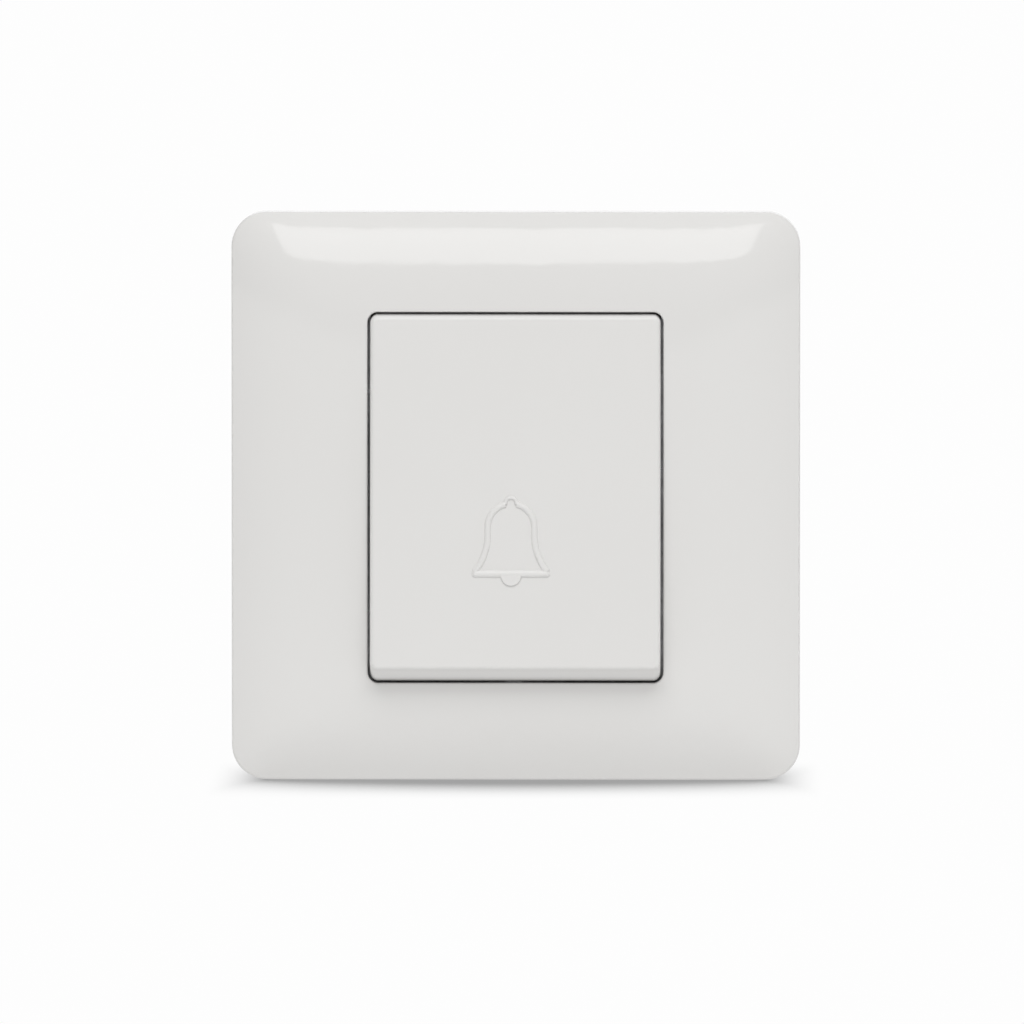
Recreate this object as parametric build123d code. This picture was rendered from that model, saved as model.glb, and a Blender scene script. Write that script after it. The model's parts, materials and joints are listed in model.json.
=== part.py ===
from build123d import *
import math
import os

# A flush wall push button for a door bell. A rocking key sits in a cushion-shaped cover frame,
# and a steel strap carries the sprung contact mechanism behind it.
# X runs to the right, Y into the wall and Z up. The origin lies on the wall plane, at the centre
# of the cover frame. Lengths are in millimetres, angles in degrees. Depths count forward from
# the wall, so a depth d lies at y = -d.

# Cover frame
PLATE = 82.0              # side of the square frame
PLATE_CORNER_R = 5.0
RIM_DEPTH = 5.6           # straight edge, from the wall to the foot of the crown
CROWN_RISE = 4.0          # foot of the crown to the middle of the front
CROWN_ORDER = 6.0         # a higher order is flatter in the middle
CROWN_SQUARENESS = 12.0   # order of the rounded squares of equal depth
CROWN_SPANS = 40          # lattice that the crown is drawn through
CROWN_TOLERANCE = 0.002
CROWN_MARGIN = 1.0        # the crown's surface runs on past the rim before it is trimmed
CREASE_R = 0.5            # rounding where the crown meets the rim
FRAME_WALL = 2.0
APERTURE_W = 42.6
APERTURE_CORNER_R = 1.5
APERTURE_EDGE_R = 0.25
COLLAR_WALL = 1.5
COLLAR_CLEARANCE = 1.2    # collar to the claw screws' heads
TONGUE_W = 6.0
TONGUE_T = 1.3
TONGUE_LAP = 0.5          # tongue's root into the collar
TONGUE_Z = 14.5
TONGUE_HOOK = 0.7
TONGUE_CATCH = 0.12       # play between hook and strap
TONGUE_TIP = 2.2

# Rocker key
KEY_END_R = 27.0          # the key's ends are concentric with its pivot
PIVOT_RISE = 2.2          # strap's front to the pivot
REST_TILT = 4.0           # the key rests with its lower end out, and swings as far the other way
TOP_STEP = 0.3            # the upper end at rest, in front of the frame
SIDE_GAP = 0.4
END_GAP = 0.36
KEY_FACE = 1.9
KEY_WALL = 1.6
KEY_EDGE_R = 0.7
KEY_TOE_R = 10.0          # rounds off the lower end in front of the frame
KEY_INNER_R = 0.8
SKIRT_CLEARANCE = 1.7     # skirt to strap with the key tilted home
KEY_RIB_H = 1.8
KEY_RIB_T = 1.2
KEY_RIB_INSET = 3.0       # rib's middle from the cradle's edge
LEG_X = 9.0               # middle of a snap leg
LEG_W = 6.0
LEG_T = 1.4
LEG_HOOK = 0.7
LEG_HOOK_T = 1.2
LEG_PLAY = 0.2
LEG_FLEX = 0.8            # room for a leg to bend while it snaps in

# Raised bell on the key
BELL_X = -0.6             # middle of the bell from the middle of the key
BELL_FOOT_Z = -11.4       # middle of the bell's foot bar below the middle of the key
BELL_LINE = 0.95
BELL_RELIEF = 0.32
BELL_DOME_R = 3.35
BELL_DOME_Z = 6.75        # centre of the dome above the foot bar
BELL_WAIST_Z = 5.6        # where the wall starts to flare
BELL_FLARE = 1.85
BELL_WALL_FOOT = 0.3      # lower end of the wall above the middle of the bar
BELL_BAR_L = 11.4
BELL_BAR_T = 1.15
BELL_CLAPPER_R = 1.5
BELL_CLAPPER_RELIEF = 0.28
BELL_CLAPPER_EDGE_R = 0.2
BELL_LOOP_R = 0.8
BELL_LOOP_Z = 10.15       # centre of the hanging loop above the foot bar
BELL_LOOP_LINE = 0.6
BELL_LOOP_RELIEF = 0.25

# Cradle under the key
CRADLE_T = 2.0
CRADLE_CORNER_R = 2.0
CHEEK_T = 1.6
CHEEK_FOOT = 14.0         # length of a cheek where it joins the cradle
BOSS_R = 2.6
TRUNNION_R = 1.5
TRUNNION_PLAY = 0.05
SIDE_PLAY = 0.4           # cheek to bearing
NOSE_R = 1.4
NOSE_W = 6.0
NOSE_DROP = 0.8           # cradle's back to the centre of the nose
NOSE_GAP = 0.1
PLUNGER_ARM = 10.0        # pivot to the plunger's axis

# Bearing frame
BEARING_T = 2.0
BEARING_CORNER_R = 3.0
BEARING_SIDE_CLEARANCE = 1.3
BEARING_END_CLEARANCE = 2.4
EAR_T = 2.4
EAR_R = 2.9
EAR_MARGIN = 1.2
EAR_MOUTH = 2.4           # snap-in slot of a bearing, narrower than the trunnion
OPENING_H = 17.0
STOP_W = 3.0
STOP_INSET = 1.6          # stop's middle from the cradle's edge
STOP_X = 10.0
STOP_GAP = 0.25
WELL_WALL = 1.2
WELL_FLOOR_T = 1.4

# Plunger, spring and contacts
HEAD_R = 4.0
HEAD_T = 1.4
HEAD_PLAY = 0.4
STEM_R = 2.2
STEM_PLAY = 0.05
TAIL_R = 1.3
TAIL_HEAD_R = 2.1
TAIL_HEAD_T = 0.8
SPRING_LENGTH = 7.1       # between its seats, at rest
SPRING_WIRE_R = 0.3
SPRING_PLAY = 0.5         # stem to spring
SPRING_TURNS = 4.5
SEAT_GAP = 0.05
BRIDGE_T = 0.6
BRIDGE_W = 4.4
BRIDGE_MARGIN = 1.9       # contact's axis to the bridge's end
BRIDGE_CLEARANCE = 0.4    # bridge to the well's floor, at rest
CONTACT_X = 7.0
CONTACT_GAP = 0.06        # left between the contacts at full travel
TIP_R = 1.3
TIP_T = 0.7
TIP_EDGE_R = 0.2
SHANK_R = 0.7
STRIP_W = 4.4
STRIP_T = 0.8
STRIP_MARGIN = 2.2
FIT = 0.05                # play of a part pushed or riveted into a hole

# Strap
STRAP_T = 1.0
STRAP_MARGIN = 3.5        # strap's edge to the inside of the frame
STRAP_CORNER_R = 7.0
STRAP_OPENING_H = 33.0
STRAP_OPENING_CLEARANCE = 0.6
BOX_SCREW_SPACING = 60.0
BOX_SLOT_W = 3.8
BOX_SLOT_L = 5.0
NOTCH = 1.6               # side of the levelling notches in the strap's edges

# Housing
HOUSING_DEPTH = 21.0
HOUSING_WALL = 1.8
HOUSING_CORNER_R = 4.0
HOUSING_EDGE_R = 0.8
PANEL_W = 26.0            # recessed panel on the housing's back
PANEL_H = 22.0
PANEL_DEPTH = 0.5
PANEL_CORNER_R = 1.5
PANEL_MARGIN = 3.0        # panel to the housing's lower edge
GRIP_W = 2.0              # grooves in the housing's lower side
GRIP_DEPTH = 0.6
GRIP_PITCH = 4.0
GRIP_COUNT = 5
LEDGE_MARGIN = 0.5        # ledge past the strip on each side
PARTITION_T = 1.6
STAKE_Z = 0.0
STAKE_R = 0.9
STAKE_HEAD_R = 1.5
STAKE_HEAD_T = 0.6
BOSS_WALL = 1.6
BOSS_LENGTH = 10.0

# Terminals
BLOCK_W = 7.0
BLOCK_H = 8.0
BLOCK_PROUD = 0.3
BLOCK_PLAY = 0.2
BLOCK_EDGE = 0.4
WIRE_R = 1.6
WIRE_DEPTH = 8.0
STUB_R = 1.2
STUB_HEAD_R = 1.8
STUB_HEAD_T = 0.6
TERMINAL_SCREW_R = 1.5
TERMINAL_HEAD_R = 2.3
TERMINAL_HEAD_H = 1.6
TERMINAL_SCREW_LIFT = 0.6  # backed off, as supplied
TERMINAL_TIP_GAP = 0.2
TERMINAL_HEAD_CLEARANCE = 0.7
ACCESS_PLAY = 0.4
ACCESS_MARGIN = 0.5       # screw's access hole to the housing's rear wall

# Screws through bearing frame, strap and housing
HOUSING_SCREW_R = 1.25
HOUSING_SCREW_L = 10.0
HOUSING_HEAD_R = 2.4
HOUSING_HEAD_H = 1.6
HOUSING_SCREW_EDGE = 2.6
HOUSING_SCREW_PLAY = 0.2
CRADLE_HEAD_CLEARANCE = 1.5
SLOT_W = 0.7
SLOT_DEPTH = 0.8
HEAD_EDGE_R = 0.45
SCREW_POINT = 0.4         # chamfer on a screw's end

# Spreading claws
CLAW_PIN_X = 2.4          # housing's side to the claw's hinge
CLAW_PIN_Y = 2.6          # behind the strap
CLAW_PIN_R = 0.75
CLAW_PIN_PLAY = 0.06
CLAW_KNUCKLE_R = 1.5
CLAW_W = 10.0
CLAW_T = 1.2
CLAW_LENGTH = 14.4
CLAW_FORK = 3.8           # slot that straddles the screw
CLAW_FORK_ROOT = 3.0
CLAW_REACH = 4.8          # hinge to the foot of the teeth
CLAW_TOOTH = 2.0
CLAW_NOTCH = 1.5          # side of the notch that splits a leg's end into two teeth
CLAW_SIDE_PLAY = 0.3
LUG_T = 1.8
LUG_R = 2.0
CLAW_SCREW_X = 6.0        # housing's side to the claw screw
CLAW_SCREW_R = 1.5
CLAW_SCREW_PLAY = 0.2
CLAW_HEAD_R = 2.75
CLAW_HEAD_H = 2.2
CLAW_SCREW_TAIL = 1.5     # screw past its nut
CLAW_NUT = 5.5
CLAW_NUT_CORNER_R = 0.5
CLAW_NUT_T = 2.2
CLAW_NUT_GAP = 0.1

# Sizes that follow from the ones above
FRONT = RIM_DEPTH + CROWN_RISE
PIVOT = STRAP_T + PIVOT_RISE
TILT = math.radians(REST_TILT)
TRAVEL = 2 * PLUNGER_ARM * math.sin(TILT)
KEY_W = APERTURE_W - 2 * SIDE_GAP
KEY_LEAN = math.asin((FRONT - PIVOT + TOP_STEP) / KEY_END_R) + TILT
KEY_FRONT = PIVOT + KEY_END_R * math.sin(KEY_LEAN)
TOE_LEAN = math.asin((FRONT - PIVOT) / KEY_END_R) - TILT
SKIRT_BACK = STRAP_T + SKIRT_CLEARANCE + KEY_END_R * math.sin(TILT)
COLLAR_BACK = STRAP_T + CLAW_HEAD_H + COLLAR_CLEARANCE
TONGUE_X = APERTURE_W / 2 + COLLAR_WALL - TONGUE_LAP
CRADLE_FRONT = KEY_FRONT - KEY_FACE - KEY_RIB_H
CRADLE_BACK = CRADLE_FRONT - CRADLE_T
BEARING_FRONT = STRAP_T + BEARING_T
BEARING_W = KEY_W - 2 * (KEY_WALL + BEARING_SIDE_CLEARANCE)
BEARING_H = 2 * (KEY_END_R - KEY_WALL - BEARING_END_CLEARANCE)
CRADLE_W = BEARING_W - 2 * (EAR_MARGIN + EAR_T + SIDE_PLAY)
HOUSING_SCREW_Z = BEARING_H / 2 - HOUSING_SCREW_EDGE
CRADLE_H = 2 * (HOUSING_SCREW_Z - HOUSING_HEAD_R - CRADLE_HEAD_CLEARANCE)
NOSE_DEPTH = CRADLE_BACK - NOSE_DROP
WELL_R = HEAD_R + HEAD_PLAY
STRAP = PLATE - 2 * (FRAME_WALL + STRAP_MARGIN)

# Stack of the contact mechanism along Y, at rest
NOSE_TIP_Y = NOSE_R - PIVOT - (NOSE_DEPTH - PIVOT) * math.cos(TILT) - PLUNGER_ARM * math.sin(TILT)
HEAD_Y = NOSE_TIP_Y + NOSE_GAP
SPRING_Y = HEAD_Y + HEAD_T
WELL_FLOOR_Y = SPRING_Y + SPRING_LENGTH
WELL_BACK_Y = WELL_FLOOR_Y + WELL_FLOOR_T
BRIDGE_Y = WELL_BACK_Y + BRIDGE_CLEARANCE
BRIDGE_BACK_Y = BRIDGE_Y + BRIDGE_T
FIXED_TIP_Y = BRIDGE_BACK_Y + TIP_T + TRAVEL + CONTACT_GAP
STRIP_Y = FIXED_TIP_Y + TIP_T
STRIP_BACK_Y = STRIP_Y + STRIP_T
BLOCK_BACK_Y = HOUSING_DEPTH + BLOCK_PROUD
ACCESS_R = TERMINAL_HEAD_R + ACCESS_PLAY
TERMINAL_SCREW_Y = HOUSING_DEPTH - HOUSING_WALL - ACCESS_R - ACCESS_MARGIN

# Terminals hang below the housing's top wall
HOUSING_TOP = BEARING_H / 2
TERMINAL_HEAD_TOP = HOUSING_TOP - HOUSING_WALL - TERMINAL_HEAD_CLEARANCE
BLOCK_TOP = TERMINAL_HEAD_TOP - TERMINAL_HEAD_H - TERMINAL_SCREW_LIFT
TERMINAL_Z = BLOCK_TOP - BLOCK_H / 2

# Claws stand beside the housing
HOUSING_SIDE = BEARING_W / 2
PIN_X = HOUSING_SIDE + CLAW_PIN_X
SCREW_X = HOUSING_SIDE + CLAW_SCREW_X
CLAW_END_Y = CLAW_PIN_Y + CLAW_LENGTH
NUT_Y = CLAW_END_Y + CLAW_NUT_GAP

PIVOT_AXIS = Axis((0, -PIVOT, 0), (1, 0, 0))
SIDES = {"left": -1, "right": 1}


def block(x, y, z):
    """Box between the (low, high) limits of each axis."""
    centre = [(low + high) / 2 for low, high in (x, y, z)]
    size = [high - low for low, high in (x, y, z)]
    return Pos(*centre) * Box(*size)


def across(sketch, low, high, x=0.0, z=0.0):
    """A sketch in X and Z, extruded along Y between two limits."""
    return extrude(Plane.XZ.offset(-high) * Pos(x, z) * sketch, high - low)


def rod(radius, low, high, x=0.0, z=0.0):
    """Cylinder along Y."""
    return across(Circle(radius), low, high, x, z)


def axle(radius, low, high):
    """Cylinder along X on the key's pivot."""
    return Plane.YZ.offset(low) * Pos(-PIVOT, 0) * extrude(Circle(radius), high - low)


def post(radius, low, high, x, y):
    """Cylinder along Z."""
    return Pos(x, y, low) * extrude(Circle(radius), high - low)


def mirrored(part):
    """The part on the right, together with its twin on the left."""
    return part + mirror(part, Plane.YZ)


def tilted(part):
    """A piece of the rocker, swung from square to its rest position."""
    return part.rotate(PIVOT_AXIS, -REST_TILT)


def rocker_blank(width, radius, corner, low, high):
    """Slab between two limits of Y, with ends concentric with the key's pivot."""
    slab = block((-width / 2, width / 2), (low, high), (-2 * radius, 2 * radius))
    blank = slab & axle(radius, -width, width)
    return fillet(blank.edges().filter_by(GeomType.CIRCLE), corner)


def key_blank(corner):
    """Outside of the key, drawn from the side.

    Its ends are concentric with the pivot, and the lower one turns into a tighter round where it
    leaves the frame at rest."""
    back = math.asin((SKIRT_BACK - PIVOT) / KEY_END_R)
    arm = KEY_END_R - KEY_TOE_R
    toe_y = -PIVOT - arm * math.sin(TOE_LEAN)
    toe_z = -arm * math.cos(TOE_LEAN)
    toe_turn = math.asin((KEY_FRONT + toe_y) / KEY_TOE_R) - TOE_LEAN
    lower_turn = math.degrees(TOE_LEAN - back)
    upper_turn = math.degrees(KEY_LEAN - back)
    lower = CenterArc((-PIVOT, 0), KEY_END_R, 270 - math.degrees(back), -lower_turn)
    toe = CenterArc((toe_y, toe_z), KEY_TOE_R, 270 - math.degrees(TOE_LEAN), -math.degrees(toe_turn))
    upper = CenterArc((-PIVOT, 0), KEY_END_R, 90 + math.degrees(KEY_LEAN), -upper_turn)
    front = Line(toe @ 1, upper @ 0)
    outline = make_face([lower, toe, front, upper, Line(upper @ 1, lower @ 0)])
    blank = Plane.YZ.offset(-KEY_W / 2) * extrude(outline, KEY_W)
    return fillet(blank.edges().filter_by(GeomType.CIRCLE), corner)


def crown(inset):
    """Everything behind the crowned front of the frame, moved in by a wall thickness.

    The crown falls off with a power of the reach from the middle. Lines of equal reach are
    rounded squares, so the corners turn softly and the rim stays almost level."""
    half = PLATE / 2
    limit = half + CROWN_MARGIN
    count = round(CROWN_SPANS)
    steps = [limit * (2 * i / count - 1) for i in range(count + 1)]
    shares = [abs(step / half) ** CROWN_SQUARENESS for step in steps]
    rows = []
    for x, share_x in zip(steps, shares):
        falls = [(share_x + share_z) ** (CROWN_ORDER / CROWN_SQUARENESS) for share_z in shares]
        depths = [RIM_DEPTH + CROWN_RISE * (1 - fall) for fall in falls]
        rows.append([Vector(x, inset - depth, z) for z, depth in zip(steps, depths)])
    front = Face.make_surface_from_array_of_points(rows, CROWN_TOLERANCE, min_deg=3, max_deg=5)
    return extrude(front, 2 * FRONT, dir=(0, 1, 0))


def tongue(side, z):
    """Snap tongue of the frame, hooked behind the strap."""
    inner = TONGUE_X
    outer = inner + TONGUE_T
    hook = outer + TONGUE_HOOK
    root = FRAME_WALL - FRONT
    outline = Polyline(
        (inner, root),
        (outer, root),
        (outer, TONGUE_CATCH),
        (hook, TONGUE_CATCH),
        (hook, TONGUE_CATCH + TONGUE_HOOK),
        (outer - TONGUE_HOOK, TONGUE_TIP),
        (inner, TONGUE_TIP),
        close=True,
    )
    piece = Pos(0, 0, z - TONGUE_W / 2) * extrude(make_face(outline), TONGUE_W)
    return piece if side > 0 else mirror(piece, Plane.YZ)


def cover_frame():
    """Cushion-shaped frame with a collar around its aperture and four snap tongues."""
    body = across(RectangleRounded(PLATE, PLATE, PLATE_CORNER_R), -2 * FRONT, 0) & crown(0)
    body = fillet(body.faces().sort_by(Axis.Y)[0].edges(), CREASE_R)
    room = PLATE - 2 * FRAME_WALL
    inside = RectangleRounded(room, room, PLATE_CORNER_R - FRAME_WALL)
    body -= across(inside, -2 * FRONT, 0) & crown(FRAME_WALL)
    opening_r = KEY_END_R + END_GAP
    collar = rocker_blank(
        APERTURE_W + 2 * COLLAR_WALL,
        opening_r + COLLAR_WALL,
        APERTURE_CORNER_R + COLLAR_WALL,
        -FRONT,
        -COLLAR_BACK,
    )
    body += collar & crown(FRAME_WALL / 2)
    body -= rocker_blank(APERTURE_W, opening_r, APERTURE_CORNER_R, -2 * FRONT, 0)
    front = body.faces().filter_by(GeomType.BSPLINE).sort_by(Axis.Y)[0]
    body = fillet(front.inner_wires()[0].edges(), APERTURE_EDGE_R)
    for side in SIDES.values():
        for z in (-TONGUE_Z, TONGUE_Z):
            body += tongue(side, z)
    return body


def lens_radius(width, relief):
    """Radius of a round that stands out by the relief over a strip of that width."""
    return (width**2 / 4 + relief**2) / (2 * relief)


def bead(path, width, relief):
    """Rounded line along a path in the XY plane, standing out of the plane."""
    radius = lens_radius(width, relief)
    start = Plane(origin=path @ 0, z_dir=path % 0)
    return Pos(0, 0, relief - radius) * sweep(start * Circle(radius), path)


def bell():
    """Line drawing of a bell in the XY plane, measured from the middle of its foot bar."""
    drop = BELL_WAIST_Z - BELL_WALL_FOOT
    flare_r = (BELL_FLARE**2 + drop**2) / (2 * BELL_FLARE)
    flare_turn = math.degrees(math.asin(drop / flare_r))
    dome_turn = math.degrees(math.acos(BELL_LOOP_R / BELL_DOME_R))
    dome = CenterArc((0, BELL_DOME_Z), BELL_DOME_R, 0, dome_turn)
    flank = Line((BELL_DOME_R, BELL_DOME_Z), (BELL_DOME_R, BELL_WAIST_Z))
    flare = CenterArc((BELL_DOME_R + flare_r, BELL_WAIST_Z), flare_r, 180, flare_turn)
    side = bead(Wire([dome, flank, flare]), BELL_LINE, BELL_RELIEF)
    drawing = side + mirror(side, Plane.YZ)
    loop_foot = BELL_DOME_Z + math.sqrt(BELL_DOME_R**2 - BELL_LOOP_R**2)
    rise = Line((BELL_LOOP_R, loop_foot), (BELL_LOOP_R, BELL_LOOP_Z))
    turn = CenterArc((0, BELL_LOOP_Z), BELL_LOOP_R, 0, 180)
    fall = Line((-BELL_LOOP_R, BELL_LOOP_Z), (-BELL_LOOP_R, loop_foot))
    drawing += bead(Wire([rise, turn, fall]), BELL_LOOP_LINE, BELL_LOOP_RELIEF)
    bar_end = (BELL_BAR_L - BELL_BAR_T) / 2
    drawing += bead(Wire([Line((-bar_end, 0), (bar_end, 0))]), BELL_BAR_T, BELL_RELIEF)
    bar_r = lens_radius(BELL_BAR_T, BELL_RELIEF)
    for x in (-bar_end, bar_end):
        drawing += Pos(x, 0, BELL_RELIEF - bar_r) * Sphere(bar_r)
    clapper = extrude(Circle(BELL_CLAPPER_R), BELL_RELIEF + BELL_CLAPPER_RELIEF)
    clapper = fillet(clapper.edges().sort_by(Axis.Z)[-1], BELL_CLAPPER_EDGE_R)
    clapper = Pos(0, -BELL_BAR_T / 4, -BELL_RELIEF) * clapper
    reach = 2 * BELL_CLAPPER_R
    drawing += clapper & block((-reach, reach), (-reach, 0), (-BELL_BAR_T, BELL_BAR_T))
    return drawing


def snap_leg():
    """Leg of the key with its hook, on the right."""
    inner = LEG_X - LEG_T / 2
    outer = LEG_X + LEG_T / 2
    catch = -CRADLE_BACK
    end = catch + LEG_HOOK_T
    outline = Polyline(
        (inner, -KEY_FRONT + KEY_FACE),
        (outer, -KEY_FRONT + KEY_FACE),
        (outer, catch),
        (outer + LEG_HOOK, catch),
        (outer, end),
        (inner, end),
        close=True,
    )
    return Pos(0, 0, -LEG_W / 2) * extrude(make_face(outline), LEG_W)


def push_key():
    """Hollow rocker key with the raised bell, ribs that sit on the cradle and two snap legs."""
    key = key_blank(APERTURE_CORNER_R - SIDE_GAP)
    key = fillet(key.faces().sort_by(Axis.Y)[0].edges(), KEY_EDGE_R)
    key -= rocker_blank(
        KEY_W - 2 * KEY_WALL, KEY_END_R - KEY_WALL, KEY_INNER_R, -KEY_FRONT + KEY_FACE, 0
    )
    rib_y = (-KEY_FRONT + KEY_FACE, -CRADLE_FRONT)
    rib_x = CRADLE_W / 2 - KEY_RIB_INSET
    rib_z = CRADLE_H / 2 - KEY_RIB_INSET
    side_rib = block((rib_x - KEY_RIB_T, rib_x), rib_y, (-rib_z, rib_z))
    key += mirrored(side_rib)
    for z in (-rib_z, rib_z):
        key += block((-rib_x, rib_x), rib_y, (z - KEY_RIB_T / 2, z + KEY_RIB_T / 2))
    key += mirrored(snap_leg())
    key += Plane.XZ.offset(KEY_FRONT) * Pos(BELL_X, BELL_FOOT_Z) * bell()
    return tilted(key)


def cheek():
    """Side of the cradle on the right, with its trunnion."""
    outer = CRADLE_W / 2
    inner = outer - CHEEK_T
    outline = Polyline(
        (-CRADLE_BACK, -CHEEK_FOOT / 2),
        (-CRADLE_BACK, CHEEK_FOOT / 2),
        (-PIVOT, BOSS_R),
        (-PIVOT, -BOSS_R),
        close=True,
    )
    web = Plane.YZ.offset(inner) * extrude(make_face(outline), CHEEK_T)
    end = outer + SIDE_PLAY + EAR_T
    return web + axle(BOSS_R, inner, outer) + axle(TRUNNION_R, inner, end)


def rocker_cradle():
    """Cradle that carries the key on two trunnions and pushes the plunger with its nose."""
    plate = RectangleRounded(CRADLE_W, CRADLE_H, CRADLE_CORNER_R)
    cradle = across(plate, -CRADLE_FRONT, -CRADLE_BACK)
    window = block(
        (LEG_X - LEG_T / 2 - LEG_FLEX, LEG_X + LEG_T / 2 + LEG_PLAY),
        (-CRADLE_FRONT, -CRADLE_BACK),
        (-LEG_W / 2 - LEG_PLAY, LEG_W / 2 + LEG_PLAY),
    )
    cradle -= mirrored(window)
    cradle += mirrored(cheek())
    stem = Pos(-NOSE_DEPTH, -PLUNGER_ARM) * Circle(NOSE_R)
    stem += Pos(-(NOSE_DEPTH + CRADLE_BACK) / 2, -PLUNGER_ARM) * Rectangle(NOSE_DROP, 2 * NOSE_R)
    cradle += Plane.YZ.offset(-NOSE_W / 2) * extrude(stem, NOSE_W)
    return tilted(cradle)


def bearing_ear():
    """Upright on the right for a trunnion bearing."""
    inner = CRADLE_W / 2 + SIDE_PLAY
    limits = (inner, inner + EAR_T)
    ear = axle(EAR_R, *limits)
    ear += block(limits, (-PIVOT, -STRAP_T), (-EAR_R, EAR_R))
    return ear & block(limits, (-PIVOT - EAR_R, -STRAP_T), (-EAR_R, EAR_R))


def bearing_cut():
    """Trunnion hole on the right, open to the front so that the cradle snaps in."""
    inner = CRADLE_W / 2
    limits = (inner, inner + SIDE_PLAY + EAR_T)
    mouth = (-EAR_MOUTH / 2, EAR_MOUTH / 2)
    hole = axle(TRUNNION_R + TRUNNION_PLAY, *limits)
    return hole + block(limits, (-PIVOT - EAR_R, -PIVOT), mouth)


def stop_depth():
    """Depth of the stops' tops, just short of the tilted cradle's back."""
    reach = CRADLE_H / 2 - STOP_INSET
    cradle_back = PIVOT + (CRADLE_BACK - PIVOT) * math.cos(TILT) - reach * math.sin(TILT)
    return cradle_back - STOP_GAP


def bearing_frame():
    """Front of the insert, with the bearings, the key's stops and the spring well."""
    plate = RectangleRounded(BEARING_W, BEARING_H, BEARING_CORNER_R)
    frame = across(plate, -BEARING_FRONT, -STRAP_T)
    opening_w = CRADLE_W + 2 * SIDE_PLAY
    frame -= across(Rectangle(opening_w, OPENING_H), -BEARING_FRONT, -STRAP_T)
    frame += rod(WELL_R + WELL_WALL, -BEARING_FRONT, WELL_BACK_Y, z=-PLUNGER_ARM)
    frame -= rod(WELL_R, -BEARING_FRONT, WELL_FLOOR_Y, z=-PLUNGER_ARM)
    frame -= rod(STEM_R + STEM_PLAY, WELL_FLOOR_Y, WELL_BACK_Y, z=-PLUNGER_ARM)
    frame += mirrored(bearing_ear())
    frame -= mirrored(bearing_cut())
    reach = CRADLE_H / 2 - STOP_INSET
    for x in (-STOP_X, STOP_X):
        for z in (-reach, reach):
            frame += across(Rectangle(STOP_W, STOP_W), -stop_depth(), -BEARING_FRONT, x, z)
    for z in (-HOUSING_SCREW_Z, HOUSING_SCREW_Z):
        hole = HOUSING_SCREW_R + HOUSING_SCREW_PLAY
        frame -= rod(hole, -BEARING_FRONT, -STRAP_T, z=z)
    return frame


def mounting_strap():
    """Flat steel strap with the box screw slots and the holes for frame, insert and claws."""
    strap = across(RectangleRounded(STRAP, STRAP, STRAP_CORNER_R), -STRAP_T, 0)
    opening_w = CRADLE_W + 2 * STRAP_OPENING_CLEARANCE
    cuts = Rectangle(opening_w, STRAP_OPENING_H)
    well = WELL_R + WELL_WALL + STRAP_OPENING_CLEARANCE
    cuts += Pos(0, -PLUNGER_ARM) * Circle(well)
    for turn in (0, 90, 180, 270):
        cuts += Rot(0, 0, turn) * Pos(BOX_SCREW_SPACING / 2, 0) * SlotOverall(BOX_SLOT_L, BOX_SLOT_W)
    tongue_in = TONGUE_X - TONGUE_HOOK
    tongue_out = TONGUE_X + TONGUE_T + TONGUE_HOOK / 2
    for side in SIDES.values():
        cuts += Pos(side * SCREW_X, 0) * Circle(CLAW_SCREW_R + CLAW_SCREW_PLAY)
        for z in (-TONGUE_Z, TONGUE_Z):
            middle = side * (tongue_in + tongue_out) / 2
            slot = Rectangle(tongue_out - tongue_in, TONGUE_W + TONGUE_HOOK)
            cuts += Pos(middle, z) * slot
    for z in (-HOUSING_SCREW_Z, HOUSING_SCREW_Z):
        cuts += Pos(0, z) * Circle(HOUSING_SCREW_R + HOUSING_SCREW_PLAY)
    for turn in (0, 90, 180, 270):
        cuts += Rot(0, 0, turn) * Pos(STRAP / 2, 0) * Rot(0, 0, 45) * Rectangle(NOTCH, NOTCH)
    return strap - across(cuts, -STRAP_T, 0)


def claw_lug(z):
    """Lug on the housing's right side that holds one end of a claw's pin."""
    low = z - LUG_T / 2
    lug = post(LUG_R, low, low + LUG_T, PIN_X, CLAW_PIN_Y)
    lug += block(
        (HOUSING_SIDE, PIN_X), (CLAW_PIN_Y - LUG_R, CLAW_PIN_Y + LUG_R), (low, low + LUG_T)
    )
    return lug - post(CLAW_PIN_R + FIT, low, low + LUG_T, PIN_X, CLAW_PIN_Y)


def lug_middle():
    """Height of a claw lug's middle above the claw's middle."""
    return CLAW_W / 2 + CLAW_SIDE_PLAY + LUG_T / 2


def contact_ledge():
    """Ledge under the right contact strip, with the stake that holds the strip down."""
    half = STRIP_W / 2 + LEDGE_MARGIN
    floor = HOUSING_DEPTH - HOUSING_WALL
    ledge = block(
        (CONTACT_X - half, CONTACT_X + half),
        (STRIP_BACK_Y, floor),
        (-PLUNGER_ARM - STRIP_MARGIN, STAKE_Z + half),
    )
    ledge += rod(STAKE_R, STRIP_Y, STRIP_BACK_Y, CONTACT_X, STAKE_Z)
    return ledge + rod(STAKE_HEAD_R, STRIP_Y - STAKE_HEAD_T, STRIP_Y, CONTACT_X, STAKE_Z)


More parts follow.
